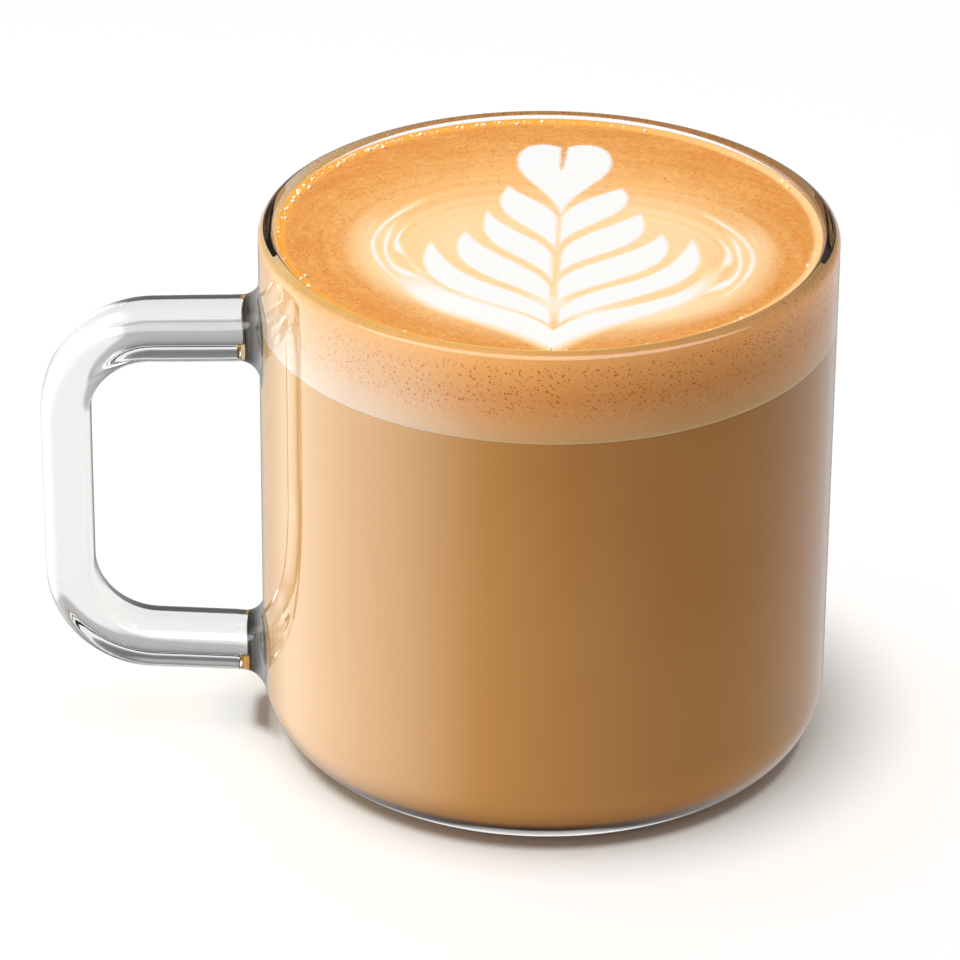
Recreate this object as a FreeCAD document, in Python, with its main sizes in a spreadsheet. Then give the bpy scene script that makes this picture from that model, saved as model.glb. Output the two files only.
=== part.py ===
"""Latte in a clear glass cup with its own handle: the cup, the coffee and the foam on it.

Millimetres, +Z up.  The origin is the centre of the foot, and the handle points along -X.
Three pieces: the glass (cup and handle are one blown and pressed piece), the coffee that
fills the cavity, and the milk foam that floats on the coffee up to just under the rim.
"""
import FreeCAD, Part

import math
import os

import Sketcher

Vector = FreeCAD.Vector

# the sketcher's numbers for a curve's two ends, and for the origin and the axes
START, END = 1, 2
ORIGIN, HORIZONTAL_AXIS, VERTICAL_AXIS = -1, -1, -2

# name of the size, value in millimetres (angles in degrees), what it is
SIZES = (
    ("cup_radius", 45.0, "outside of the straight wall"),
    ("cup_height", 87.0, "foot to rim"),
    ("wall", 2.8, "thickness of the wall"),
    ("floor_thickness", 4.0, "glass under the coffee"),
    ("foot_round", 10.0, "outer corner between wall and foot"),
    ("cavity_round", 8.0, "inner corner between wall and floor"),
    ("rim_round_outer", 1.2, "fire-polished lip, outside"),
    ("rim_round_inner", 0.8, "fire-polished lip, inside"),
    ("freeboard", 0.95, "rim down to the foam"),
    ("foam_depth", 14.4, "foam from its top down to the coffee"),
    ("meniscus_rise", 0.35, "foam climbing the wall"),
    ("meniscus_width", 1.3, "width of that climb"),
    ("handle_drop", 17.7, "rim down to the upper bar's middle"),
    ("handle_lift", 13.4, "foot up to the lower bar's middle"),
    ("handle_stand_off", 30.55, "wall out to the grip's middle"),
    ("handle_bend", 14.0, "radius of the two bends, at the middle of the bar"),
    ("upper_slope", 1.0, "fall of the upper bar towards the grip, degrees"),
    ("lower_slope", 2.0, "rise of the lower bar towards the grip, degrees"),
    ("upper_thick", 8.2, "upper bar, top to underside"),
    ("upper_width", 12.5, "upper bar, side to side"),
    ("grip_thick", 7.7, "grip, inside to outside"),
    ("grip_width", 11.6, "grip, side to side"),
    ("lower_thick", 7.7, "lower bar, top to underside"),
    ("lower_width", 10.6, "lower bar, side to side"),
    ("bar_round", 3.1, "long edges of the bar"),
    ("root_round", 3.0, "flare where a bar runs into the wall"),
)


def make_sheet(doc):
    """Writes the driving sizes into an aliased spreadsheet."""
    sheet = doc.addObject("Spreadsheet::Sheet", "Sizes")
    for row, (alias, value, meaning) in enumerate(SIZES, start=1):
        sheet.set("A%d" % row, meaning)
        sheet.set("B%d" % row, str(value))
        sheet.setAlias("B%d" % row, alias)
    doc.recompute()


def origin_plane(body, role):
    """The body's own origin plane with this role."""
    for feature in body.Origin.OriginFeatures:
        if getattr(feature, "Role", "") == role:
            return feature
    raise RuntimeError("no plane " + role)


def new_sketch(body, name, role):
    """An empty sketch on one of the body's origin planes."""
    sketch = body.newObject("Sketcher::SketchObject", name)
    sketch.AttachmentSupport = [(origin_plane(body, role), "")]
    sketch.MapMode = "FlatFace"
    return sketch


def number(item, expression):
    """What an expression on the sheet comes to now."""
    return float(item.evalExpression(expression))


def bind(sketch, constraint, expression):
    """Adds a dimension to a sketch and binds it to an expression on the sheet."""
    index = sketch.addConstraint(constraint)
    sketch.setExpression("Constraints[%d]" % index, expression)


def step_outline(sketch, lines, rounds):
    """A closed outline of level and upright lines, with rounded corners.

    lines holds ("level", expression for z) and ("upright", expression for x) in turn, and
    rounds the radius expression of the corner after each line, or None for a sharp one.
    """
    count = len(lines)
    numbers = [number(sketch, text) for _, text in lines]
    radii = [number(sketch, text) if text else 0.0 for text in rounds]

    def corner(index):
        """Where the line runs into the next one."""
        here, after = numbers[index % count], numbers[(index + 1) % count]
        return Vector(after, here, 0) if lines[index % count][0] == "level" else Vector(here, after, 0)

    starts, ends = [], []
    for index in range(count):
        before, after = corner(index - 1), corner(index)
        along = (after - before).normalize()
        starts.append(before + along * radii[index - 1])
        ends.append(after - along * radii[index])
    sides = [sketch.addGeometry(Part.LineSegment(starts[i], ends[i]), False) for i in range(count)]
    for index in range(count):
        kind, text = lines[index]
        side, following = sides[index], sides[(index + 1) % count]
        sketch.addConstraint(Sketcher.Constraint("Horizontal" if kind == "level" else "Vertical", side))
        measure = "DistanceY" if kind == "level" else "DistanceX"
        if numbers[index] == 0.0:
            axis = HORIZONTAL_AXIS if kind == "level" else VERTICAL_AXIS
            sketch.addConstraint(Sketcher.Constraint("PointOnObject", side, START, axis))
        else:
            bind(sketch, Sketcher.Constraint(measure, ORIGIN, START, side, START, numbers[index]), text)
        if not rounds[index]:
            sketch.addConstraint(Sketcher.Constraint("Coincident", side, END, following, START))
            continue
        begin, finish, sharp = ends[index], starts[(index + 1) % count], corner(index)
        centre = begin + finish - sharp
        middle = centre + (sharp - centre).normalize() * radii[index]
        arc = sketch.addGeometry(Part.Arc(begin, middle, finish), False)
        forward = (begin - centre).cross(finish - centre).z > 0
        first, last = (START, END) if forward else (END, START)
        sketch.addConstraint(Sketcher.Constraint("Tangent", side, END, arc, first))
        sketch.addConstraint(Sketcher.Constraint("Tangent", arc, last, following, START))
        bind(sketch, Sketcher.Constraint("Radius", arc, radii[index]), rounds[index])


def turn(body, name, sketch):
    """Revolves a sketch once round the body's upright axis."""
    solid = body.newObject("PartDesign::Revolution", name)
    solid.Profile = (sketch, [""])
    solid.ReferenceAxis = (sketch, ["V_Axis"])
    solid.Angle = 360.0
    sketch.Visibility = False
    return solid


def bar_section(sketch, centre, size, first):
    """One rounded cross-section of the handle's bar.

    centre and size hold expressions for the two directions of the sketch.  Every section has
    the same eight edges, counted from the quarter called first, so the bar blends from one
    section to the next without a twist.
    """
    mid = [number(sketch, text) for text in centre]
    half = [number(sketch, text) / 2 for text in size]
    radius = number(sketch, "Sizes.bar_round")
    corners = ((1, 1), (-1, 1), (-1, -1), (1, -1))
    arcs = {}
    for quarter in [(first + step) % 4 for step in range(4)]:
        right, up = corners[quarter]
        at = Vector(mid[0] + right * (half[0] - radius), mid[1] + up * (half[1] - radius), 0)
        circle = Part.Circle(at, Vector(0, 0, 1), radius)
        start = quarter * math.pi / 2
        arcs[quarter] = sketch.addGeometry(Part.ArcOfCircle(circle, start, start + math.pi / 2), False)
    sides = []
    for quarter in range(4):
        here, after = arcs[quarter], arcs[(quarter + 1) % 4]
        span = Part.LineSegment(sketch.Geometry[here].EndPoint, sketch.Geometry[after].StartPoint)
        line = sketch.addGeometry(span, False)
        sketch.addConstraint(Sketcher.Constraint("Tangent", here, END, line, START))
        sketch.addConstraint(Sketcher.Constraint("Tangent", line, END, after, START))
        sketch.addConstraint(Sketcher.Constraint("Horizontal" if quarter % 2 == 0 else "Vertical", line))
        sides.append(line)
    for quarter in (1, 2, 3):
        sketch.addConstraint(Sketcher.Constraint("Equal", arcs[0], arcs[quarter]))
    bind(sketch, Sketcher.Constraint("Radius", arcs[0], radius), "Sizes.bar_round")
    top, left, bottom, right = sides
    bind(sketch, Sketcher.Constraint("DistanceX", left, START, right, START, 2 * half[0]), size[0])
    bind(sketch, Sketcher.Constraint("DistanceY", bottom, START, top, START, 2 * half[1]), size[1])
    bind(sketch, Sketcher.Constraint("DistanceX", ORIGIN, START, right, START, mid[0] + half[0]),
         "%s + (%s) / 2" % (centre[0], size[0]))
    bind(sketch, Sketcher.Constraint("DistanceY", ORIGIN, START, top, START, mid[1] + half[1]),
         "%s + (%s) / 2" % (centre[1], size[1]))


# levels and distances that more than one piece follows
INNER = "Sizes.cup_radius - Sizes.wall"
FOAM_TOP = "Sizes.cup_height - Sizes.freeboard"
COFFEE_TOP = FOAM_TOP + " - Sizes.foam_depth"
ROOT = "Sizes.cup_radius - Sizes.wall / 2"
GRIP = "Sizes.cup_radius + Sizes.handle_stand_off"
UPPER_BAR = "Sizes.cup_height - Sizes.handle_drop"
LOWER_BAR = "Sizes.handle_lift"


def bar_path(body):
    """The middle line of the handle: out along the upper bar, down the grip, back along the lower."""
    sketch = new_sketch(body, "bar_path", "XZ_Plane")
    root, grip = -number(sketch, ROOT), -number(sketch, GRIP)
    upper, lower = number(sketch, UPPER_BAR), number(sketch, LOWER_BAR)
    bend = number(sketch, "Sizes.handle_bend")
    points = [Vector(root, upper, 0), Vector(grip + bend, upper, 0), Vector(grip, upper - bend, 0),
              Vector(grip, lower + bend, 0), Vector(grip + bend, lower, 0), Vector(root, lower, 0)]
    runs = [sketch.addGeometry(Part.LineSegment(points[i], points[i + 1]), False) for i in (0, 2, 4)]
    bends = []
    for level, start in ((upper - bend, math.pi / 2), (lower + bend, math.pi)):
        circle = Part.Circle(Vector(grip + bend, level, 0), Vector(0, 0, 1), bend)
        bends.append(sketch.addGeometry(Part.ArcOfCircle(circle, start, start + math.pi / 2), False))
    for before, after in ((runs[0], bends[0]), (bends[0], runs[1]), (runs[1], bends[1]), (bends[1], runs[2])):
        sketch.addConstraint(Sketcher.Constraint("Tangent", before, END, after, START))
    sketch.addConstraint(Sketcher.Constraint("Vertical", runs[1]))
    for arc in bends:
        bind(sketch, Sketcher.Constraint("Radius", arc, bend), "Sizes.handle_bend")
    bind(sketch, Sketcher.Constraint("DistanceX", runs[0], START, ORIGIN, START, -root), ROOT)
    bind(sketch, Sketcher.Constraint("DistanceX", runs[2], END, ORIGIN, START, -root), ROOT)
    bind(sketch, Sketcher.Constraint("DistanceX", runs[1], START, ORIGIN, START, -grip), GRIP)
    bind(sketch, Sketcher.Constraint("DistanceY", ORIGIN, START, runs[0], START, upper), UPPER_BAR)
    bind(sketch, Sketcher.Constraint("DistanceY", ORIGIN, START, runs[2], END, lower), LOWER_BAR)
    bind(sketch, Sketcher.Constraint("Angle", runs[0], math.pi), "(180 + Sizes.upper_slope) * 1 deg")
    bind(sketch, Sketcher.Constraint("Angle", runs[2], 0.0), "(0 - Sizes.lower_slope) * 1 deg")
    return sketch


def root_section(body, name, level, thick, width, reverse):
    """The bar's cross-section where it starts or ends, in the middle of the glass wall."""
    sketch = new_sketch(body, name, "YZ_Plane")
    sketch.MapReversed = reverse
    sketch.setExpression("AttachmentOffset.Base.z", ROOT if reverse else "-(%s)" % ROOT)
    bar_section(sketch, ("0", level), (width, thick), 2 if reverse else 0)
    return sketch


def root_edges(shape, middle):
    """Names of the edges where the bars leave the wall: swept face to turned face, outside its middle."""
    names = []
    for index, edge in enumerate(shape.Edges, start=1):
        kinds = {face.Surface.TypeId for face in shape.ancestorsOfType(edge, Part.Face)}
        swept = "Part::GeomBSplineSurface" in kinds
        turned = bool(kinds & {"Part::GeomCylinder", "Part::GeomToroid"})
        outside = math.hypot(edge.CenterOfMass.x, edge.CenterOfMass.y) > middle
        if swept and turned and outside:
            names.append("Edge%d" % index)
    return names


def make_mug(doc):
    """The glass: a turned cup with a bar swept from its wall and back into it."""
    body = doc.addObject("PartDesign::Body", "Mug")
    body.Label = "mug"
    bowl = new_sketch(body, "cup_outline", "XZ_Plane")
    step_outline(
        bowl,
        (("level", "0"), ("upright", "Sizes.cup_radius"), ("level", "Sizes.cup_height"),
         ("upright", INNER), ("level", "Sizes.floor_thickness"), ("upright", "0")),
        ("Sizes.foot_round", "Sizes.rim_round_outer", "Sizes.rim_round_inner", "Sizes.cavity_round",
         None, None))
    turn(body, "cup", bowl)
    path = bar_path(body)
    upper = root_section(body, "upper_root", UPPER_BAR, "Sizes.upper_thick", "Sizes.upper_width", False)
    grip = new_sketch(body, "grip_section", "XY_Plane")
    grip.setExpression("AttachmentOffset.Base.z", "(%s + %s) / 2" % (UPPER_BAR, LOWER_BAR))
    bar_section(grip, ("-(%s)" % GRIP, "0"), ("Sizes.grip_thick", "Sizes.grip_width"), 1)
    lower = root_section(body, "lower_root", LOWER_BAR, "Sizes.lower_thick", "Sizes.lower_width", True)
    doc.recompute()
    handle = body.newObject("PartDesign::AdditivePipe", "handle")
    handle.Profile = (upper, [""])
    handle.Spine = (path, [""])
    handle.Sections = [(grip, [""]), (lower, [""])]
    handle.Transformation = "Multisection"
    handle.Transition = "Transformed"
    doc.recompute()
    flare = body.newObject("PartDesign::Fillet", "root_flare")
    flare.Base = (handle, root_edges(handle.Shape, number(flare, ROOT)))
    flare.setExpression("Radius", "Sizes.root_round")
    for sketch in (path, upper, grip, lower):
        sketch.Visibility = False
    doc.recompute()
    return body


def make_coffee(doc):
    """The milky coffee: everything in the cavity up to the foam."""
    body = doc.addObject("PartDesign::Body", "Coffee")
    body.Label = "coffee"
    sketch = new_sketch(body, "coffee_outline", "XZ_Plane")
    step_outline(
        sketch,
        (("level", "Sizes.floor_thickness"), ("upright", INNER), ("level", COFFEE_TOP), ("upright", "0")),
        ("Sizes.cavity_round", None, None, None))
    turn(body, "coffee_fill", sketch)
    return body


def make_foam(doc):
    """The milk foam: a thick disc on the coffee whose top edge climbs the wall a little."""
    body = doc.addObject("PartDesign::Body", "Foam")
    body.Label = "foam"
    sketch = new_sketch(body, "foam_outline", "XZ_Plane")
    inner, top, under = number(sketch, INNER), number(sketch, FOAM_TOP), number(sketch, COFFEE_TOP)
    rise, width = number(sketch, "Sizes.meniscus_rise"), number(sketch, "Sizes.meniscus_width")
    radius = (rise ** 2 + width ** 2) / (2 * rise)
    foot, corner, lip = Vector(0, under, 0), Vector(inner, under, 0), Vector(inner, top + rise, 0)
    bend, crown = Vector(inner - width, top, 0), Vector(0, top, 0)
    floor = sketch.addGeometry(Part.LineSegment(foot, corner), False)
    wall = sketch.addGeometry(Part.LineSegment(corner, lip), False)
    climb = Part.Circle(bend + Vector(0, radius, 0), Vector(0, 0, 1), radius)
    lowest = -math.pi / 2
    arc = Part.ArcOfCircle(climb, lowest, lowest + math.asin(width / radius))
    meniscus = sketch.addGeometry(arc, False)
    surface = sketch.addGeometry(Part.LineSegment(bend, crown), False)
    middle = sketch.addGeometry(Part.LineSegment(crown, foot), False)
    for before, after in ((floor, wall), (surface, middle), (middle, floor)):
        sketch.addConstraint(Sketcher.Constraint("Coincident", before, END, after, START))
    sketch.addConstraint(Sketcher.Constraint("Coincident", wall, END, meniscus, END))
    sketch.addConstraint(Sketcher.Constraint("Tangent", meniscus, START, surface, START))
    for level in (floor, surface):
        sketch.addConstraint(Sketcher.Constraint("Horizontal", level))
    sketch.addConstraint(Sketcher.Constraint("Vertical", wall))
    sketch.addConstraint(Sketcher.Constraint("PointOnObject", middle, START, VERTICAL_AXIS))
    sketch.addConstraint(Sketcher.Constraint("PointOnObject", middle, END, VERTICAL_AXIS))
    bind(sketch, Sketcher.Constraint("DistanceY", ORIGIN, START, floor, START, under), COFFEE_TOP)
    bind(sketch, Sketcher.Constraint("DistanceX", ORIGIN, START, wall, START, inner), INNER)
    bind(sketch, Sketcher.Constraint("DistanceY", ORIGIN, START, surface, START, top), FOAM_TOP)
    bind(sketch, Sketcher.Constraint("DistanceY", surface, START, wall, END, rise), "Sizes.meniscus_rise")
    bind(sketch, Sketcher.Constraint("DistanceX", surface, START, wall, END, width), "Sizes.meniscus_width")
    turn(body, "foam_fill", sketch)
    return body


def check(doc, bodies):
    """Stops with a plain message if any object failed or any piece isn't one sound solid."""
    for item in doc.Objects:
        if "Invalid" in item.State or "Error" in item.State:
            raise RuntimeError("%s failed: %s" % (item.Name, item.State))
        if item.isDerivedFrom("Sketcher::SketchObject") and item.solve() != 0:
            raise RuntimeError("%s has no solution" % item.Name)
    for body in bodies:
        if body.Shape.isNull() or not body.Shape.isValid() or len(body.Shape.Solids) != 1:
            raise RuntimeError("%s isn't one valid solid" % body.Label)


def main():
    """Builds the three pieces and writes each to its own STEP file."""
    doc = FreeCAD.newDocument("latte")
    make_sheet(doc)
    bodies = [make_mug(doc), make_coffee(doc), make_foam(doc)]
    doc.recompute()
    for body in bodies:
        body.Placement = FreeCAD.Placement(Vector(0, 0, 0), FreeCAD.Rotation())
    doc.recompute()
    check(doc, bodies)
    os.makedirs("parts", exist_ok=True)
    for body in bodies:
        body.Shape.exportStep(os.path.join("parts", body.Label + ".step"))
        print("%-7s %8.2f ml, %d faces" % (body.Label, body.Shape.Volume / 1000, len(body.Shape.Faces)))


main()
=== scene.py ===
"""Looks of a latte in a clear glass cup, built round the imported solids.

Four pieces are made here: the glass (cup and handle in one closed skin), the milky coffee, the
foam with a poured leaf on it, and the beads of froth along the wall.  All of them are in metres
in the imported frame: the origin is the centre of the foot, +Z is up and the handle points along -X.
"""
import logging
import math
from dataclasses import dataclass
from enum import Enum

import bpy
import numpy as np
from mathutils import Matrix, Vector


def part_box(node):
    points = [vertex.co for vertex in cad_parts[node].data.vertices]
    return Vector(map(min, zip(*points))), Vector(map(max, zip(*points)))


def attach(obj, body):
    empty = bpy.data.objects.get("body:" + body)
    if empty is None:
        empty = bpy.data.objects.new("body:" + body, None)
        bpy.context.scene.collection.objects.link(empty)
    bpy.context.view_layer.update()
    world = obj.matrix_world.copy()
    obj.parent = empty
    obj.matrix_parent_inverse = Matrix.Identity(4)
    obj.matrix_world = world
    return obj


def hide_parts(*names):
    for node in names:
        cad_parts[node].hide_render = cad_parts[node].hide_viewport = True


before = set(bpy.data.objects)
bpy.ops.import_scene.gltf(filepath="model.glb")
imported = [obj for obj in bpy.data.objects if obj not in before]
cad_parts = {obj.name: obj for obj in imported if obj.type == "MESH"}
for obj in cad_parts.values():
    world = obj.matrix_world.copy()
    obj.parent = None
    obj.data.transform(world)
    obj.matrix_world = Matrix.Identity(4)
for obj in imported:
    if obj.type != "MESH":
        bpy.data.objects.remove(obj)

Socket, Tree = bpy.types.NodeSocket, bpy.types.NodeTree
Material, Piece, Array = bpy.types.Material, bpy.types.Object, np.ndarray
Pair, Triple = tuple[float, float], tuple[float, float, float]
LOG = logging.getLogger("latte")
MM = 0.001
# Radius of the last ring round a pole, which a fan of triangles closes.
POLE = 0.4 * MM
# How far the drink reaches into the glass.
BITE = 0.15 * MM
# Settings of a mix of colours, whose third output is the colour, and of an eased change of range.
COLOURS = {"data_type": "RGBA", "out": 2}
EASED = {"interpolation_type": "SMOOTHSTEP"}


# ---------------------------------------------------------------- small helpers


def srgb(code: str) -> tuple[float, float, float, float]:
    """Turns a hex colour into linear light.

    Args:
        code: Six hex digits, such as "C8945F".

    Returns:
        Red, green, blue and alpha, linear.
    """
    parts = [int(code[i:i + 2], 16) / 255 for i in (0, 2, 4)]
    red, green, blue = [c / 12.92 if c <= 0.04045 else ((c + 0.055) / 1.055) ** 2.4 for c in parts]
    return (red, green, blue, 1.0)


def add_node(tree: Tree, kind: str, inputs: dict | None = None, out: int | str = 0,
             **settings) -> Socket | None:
    """Adds one shader node.

    Args:
        tree: The tree the node goes into.
        kind: Its type without "ShaderNode", such as "Math".
        inputs: Values or sockets for its inputs, by name or number.
        out: Name or number of the output that is wanted.
        settings: Properties of the node itself.

    Returns:
        That output, or nothing for a node that has none.
    """
    node = tree.nodes.new("ShaderNode" + kind)
    for name, value in settings.items():
        setattr(node, name, value)
    for name, value in (inputs or {}).items():
        if isinstance(value, Socket):
            tree.links.new(value, node.inputs[name])
        else:
            node.inputs[name].default_value = value
    return node.outputs[out] if len(node.outputs) else None


def span(value: Socket, start: float, stop: float, low: float = 0.0, high: float = 1.0) -> dict:
    """Inputs that carry a value over from one range to another.

    Args:
        value: The value that changes.
        start: Where the result is low.
        stop: Where the result is high.
        low: The result at start.
        high: The result at stop.

    Returns:
        The inputs by name.
    """
    return {"Value": value, "From Min": start, "From Max": stop, "To Min": low, "To Max": high}


def new_material(name: str) -> tuple[Material, Tree]:
    """Makes a material whose tree is still empty, and hands both over."""
    material = bpy.data.materials.new(name)
    material.use_nodes = True
    material.node_tree.nodes.clear()
    return material, material.node_tree


def smooth(low: float, high: float, value: Array) -> Array:
    """Smooth step: 0 below low, 1 above high, and 3t^2 - 2t^3 between them."""
    t = np.clip((value - low) / (high - low), 0.0, 1.0)
    return t * t * (3 - 2 * t)


def grid_faces(index: Array) -> Array:
    """Quads between neighbouring rows and columns of a table of vertex numbers.

    Args:
        index: Vertex numbers, rows by columns.

    Returns:
        One row of four vertex numbers for each quad.
    """
    return np.stack([index[:-1, :-1], index[:-1, 1:], index[1:, 1:], index[1:, :-1]], -1).reshape(-1, 4)


def closed(index: Array) -> Array:
    """Repeats the first column of a table of vertex numbers at its end, so that it closes."""
    return np.concatenate([index, index[:, :1]], axis=1)


def fan(pole: int, ring: Array, above: bool) -> Array:
    """Triangles between a pole and a closed ring, facing up where the pole is above the ring.

    Args:
        pole: Vertex number of the pole.
        ring: Vertex numbers of the ring, in the order of its angle.
        above: Whether the pole is above.

    Returns:
        One row of three vertex numbers for each triangle.
    """
    after = np.roll(ring, -1)
    near, far = (ring, after) if above else (after, ring)
    return np.stack([np.full(len(ring), pole), near, far], -1)


def make_piece(name: str, points: Array, quads: Array, fans: Array, materials: list[Material],
               second: Array | None = None) -> Piece:
    """Makes a smooth-shaded mesh object from whole arrays.

    Args:
        name: The piece's name.
        points: Vertex places in metres, n by 3.
        quads: Vertex numbers of the four-sided faces.
        fans: Vertex numbers of the three-sided faces.
        materials: The piece's one or two finishes.
        second: 1 for each face with the second finish, otherwise 0; none without it.

    Returns:
        The object, linked to the scene.
    """
    mesh = bpy.data.meshes.new(name)
    mesh.vertices.add(len(points))
    mesh.vertices.foreach_set("co", points.astype(np.float32).ravel())
    mesh.loops.add(quads.size + fans.size)
    mesh.loops.foreach_set("vertex_index", np.concatenate([quads.ravel(), fans.ravel()]).astype(np.int32))
    starts = np.concatenate([np.arange(len(quads)) * 4, quads.size + np.arange(len(fans)) * 3])
    mesh.polygons.add(len(starts))
    mesh.polygons.foreach_set("loop_start", starts.astype(np.int32))
    mesh.update(calc_edges=True)
    mesh.validate()
    mesh.shade_smooth()
    for material in materials:
        mesh.materials.append(material)
    if second is not None:
        mesh.polygons.foreach_set("material_index", second.astype(np.int32))
    piece = bpy.data.objects.new(name, mesh)
    bpy.context.scene.collection.objects.link(piece)
    return piece


def rounded_path(corners: list[Pair], radii: list[float], spacing: float) -> Array:
    """A path of straight runs with rounded corners.

    Each corner is replaced by the arc of its radius that touches both of its runs; points lie
    evenly along every run and every arc.

    Args:
        corners: The path's corners, first and last included.
        radii: Radius of each corner; the two ends have none, so it is two shorter.
        spacing: Largest distance between points.

    Returns:
        The points, n by 2.
    """
    spots = np.array(corners, float)
    pieces, start = [], spots[0]
    for corner, before, after, radius in zip(spots[1:-1], spots[:-2], spots[2:], radii):
        into = (corner - before) / np.linalg.norm(corner - before)
        out = (after - corner) / np.linalg.norm(after - corner)
        turn = math.acos(float(np.clip(into @ out, -1, 1)))
        reach = radius * math.tan(turn / 2)
        first, last = corner - into * reach, corner + out * reach
        normal = (out - into * (into @ out)) / math.sin(turn)
        count = max(2, math.ceil(np.linalg.norm(first - start) / spacing))
        pieces.append(start + (first - start) * (np.arange(count) / count)[:, None])
        count = max(10, math.ceil(radius * turn / spacing))
        angle = (np.arange(count) / count * turn)[:, None]
        pieces.append(first + radius * (into * np.sin(angle) + normal * (1 - np.cos(angle))))
        start = last
    count = max(2, math.ceil(np.linalg.norm(spots[-1] - start) / spacing))
    pieces.append(start + (spots[-1] - start) * (np.arange(count + 1) / count)[:, None])
    return np.concatenate(pieces)


def turned(profile: Array, columns: int) -> Array:
    """Turns a profile round the upright axis: x = r cos a, y = r sin a, z = z.

    Args:
        profile: Radius and height of each row, n by 2.
        columns: Number of steps round.

    Returns:
        Points, rows by columns by 3.
    """
    angle = np.arange(columns) * (2 * math.pi / columns)
    radius, height = profile[:, :1], profile[:, 1:]
    return np.stack([radius * np.cos(angle), radius * np.sin(angle), height + 0 * angle], -1)


def ride_as(piece: Piece, node: str) -> Piece:
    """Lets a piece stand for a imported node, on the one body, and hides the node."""
    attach(piece, "root")
    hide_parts(node)
    return piece


# ---------------------------------------------------------------- sizes from the frame


@dataclass(frozen=True)
class Fit:
    """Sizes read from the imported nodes, in metres."""

    radius: float
    height: float
    reach: float
    inner: float
    floor: float
    coffee_top: float
    foam_lip: float

    @classmethod
    def read(cls) -> "Fit":
        """Reads the boxes of the three nodes."""
        mug_low, mug_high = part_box("mug")
        coffee_low, coffee_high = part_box("coffee")
        foam_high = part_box("foam")[1]
        return cls(mug_high.x, mug_high.z, mug_low.x, coffee_high.x, coffee_low.z, coffee_high.z,
                   foam_high.z)


# ---------------------------------------------------------------- finishes


@dataclass(frozen=True)
class ClearGlass:
    """Soda-lime glass, pressed and fire polished: smooth, nearly colourless, with a clear gloss.

    A near-black colour on the fused joint is painted shade: the glass there is as clear as the rest,
    but its tight flare sends light aside, so that it looks nearly black.  Light for what the cup
    holds passes straight through, as it does through a thin clean wall; the eye's rays are bent and
    reflected by the real index.
    """

    name: str = "clear_glass"
    colour: str = "FBFCFB"
    ior: float = 1.52
    roughness: float = 0.0

    def material(self) -> Material:
        """Builds the glass."""
        material, tree = new_material(self.name)
        glass = add_node(tree, "BsdfPrincipled", {
            "Base Color": srgb(self.colour), "Roughness": self.roughness, "IOR": self.ior,
            "Transmission Weight": 1.0})
        passing = add_node(tree, "BsdfTransparent", {"Color": srgb(self.colour)})
        path = add_node(tree, "LightPath").node.outputs
        soft = add_node(tree, "Math", {
            0: path["Is Shadow Ray"], 1: path["Is Diffuse Ray"]}, operation="MAXIMUM")
        mix = add_node(tree, "MixShader", {0: soft, 1: glass, 2: passing})
        add_node(tree, "OutputMaterial", {"Surface": mix})
        return material


@dataclass(frozen=True)
class MilkyCoffee:
    """Espresso in hot milk: opaque and even, with slow clouds where the milk has settled.
    The paler colour towards -X, the side that faces the key light, is painted light, and the dark
    colour at the very bottom is painted shade.

    The spans are where each layer of colour starts and is complete: cloud_span as values of
    the noise and lit_side_span as shares of the cavity's radius along X.
    """

    body: str = "C78C50"
    top: str = "BC8045"
    cloud: str = "CB9558"
    # Painted light: the side that faces the key light, towards -X, is paler.
    paler: str = "C99A58"
    # Painted shade: the drink's lowest part, over the foot, is darkened to this colour.
    underside_shade: str = "3E2410"
    cloud_size: float = 26 * MM
    cloud_span: Pair = (0.35, 0.75)
    cloud_share: float = 0.45
    lit_side_span: Pair = (0.1, -1.0)
    shade_height: float = 1.2 * MM
    roughness: float = 0.5
    ior: float = 1.34
    gloss: float = 0.1

    def material(self, fit: Fit) -> Material:
        """Builds the drink: its colour is laid in layers over the body colour.

        Args:
            fit: Sizes of the cup, for the slow changes upwards and across.

        Returns:
            The material.
        """
        material, tree = new_material("milky_coffee")
        place = add_node(tree, "TexCoord", out="Object")
        parts = add_node(tree, "SeparateXYZ", {0: place}).node.outputs
        noise = add_node(tree, "TexNoise", {
            "Vector": place, "Scale": 1 / self.cloud_size, "Detail": 2.0, "Roughness": 0.45}, out="Fac")
        raised = add_node(tree, "MapRange", span(parts["Z"], fit.floor, fit.coffee_top), **EASED)
        clouded = add_node(tree, "MapRange", span(noise, *self.cloud_span, 0.0, self.cloud_share))
        # Painted light: the colour turns paler towards -X, where the key light falls.
        aside = add_node(tree, "MapRange", span(parts["X"], *(part * fit.inner for part in self.lit_side_span)))
        # Painted shade: the lowest shade_height of the drink turns to the dark colour below.
        shade_top = fit.floor + self.shade_height
        shaded = add_node(tree, "MapRange", span(parts["Z"], shade_top, fit.floor), **EASED)
        colour = srgb(self.body)
        for share, over in ((raised, self.top), (clouded, self.cloud), (aside, self.paler),
                            (shaded, self.underside_shade)):
            colour = add_node(tree, "Mix", {0: share, 6: colour, 7: srgb(over)}, **COLOURS)
        surface = add_node(tree, "BsdfPrincipled", {
            "Base Color": colour, "Roughness": self.roughness, "IOR": self.ior,
            "Specular IOR Level": self.gloss})
        add_node(tree, "OutputMaterial", {"Surface": surface})
        return material


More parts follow.
